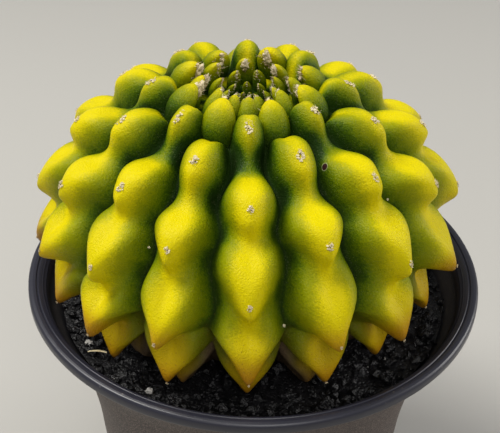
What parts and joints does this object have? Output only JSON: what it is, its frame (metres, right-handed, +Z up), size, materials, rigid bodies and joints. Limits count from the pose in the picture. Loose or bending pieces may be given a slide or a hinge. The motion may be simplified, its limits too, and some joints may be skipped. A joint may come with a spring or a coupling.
{
  "type": "potted globular cactus",
  "caption": "Round ribbed cactus with noses of yellow and green flesh, seated in black grit in a flared round plastic pot with a rolled lip.",
  "frame": {"origin": "centre of the pot's foot, on the surface that it stands on", "axes": "+Z up, -Y towards a viewer in front of the plant, +X to that viewer's right"},
  "size_m": [0.14, 0.14, 0.1752],
  "materials": {
    "pot_plastic": "satin",
    "peat": "matte",
    "lava_grit": "matte",
    "cactus_skin": "satin",
    "root_bark": "matte",
    "dry_husk": "matte",
    "pumice": "matte",
    "straw": "matte"
  },
  "bodies": {
    "root": {"pot": "pot_plastic", "potting_mix": "peat", "grit_layer": "lava_grit", "cactus_stem": "cactus_skin", "taproot": "root_bark", "flower_remnant_1": "dry_husk", "flower_remnant_2": "dry_husk", "flower_remnant_3": "dry_husk", "flower_remnant_4": "dry_husk", "flower_remnant_5": "dry_husk", "flower_remnant_6": "dry_husk", "lava_stone_1": "lava_grit", "lava_stone_2": "lava_grit", "lava_stone_3": "lava_grit", "lava_stone_4": "lava_grit", "lava_stone_5": "lava_grit", "lava_stone_6": "lava_grit", "lava_stone_7": "lava_grit", "lava_stone_8": "lava_grit", "pumice_grain_1": "pumice", "pumice_grain_2": "pumice", "pumice_grain_3": "pumice", "dry_straw": "straw"}
  },
  "joints": []
}
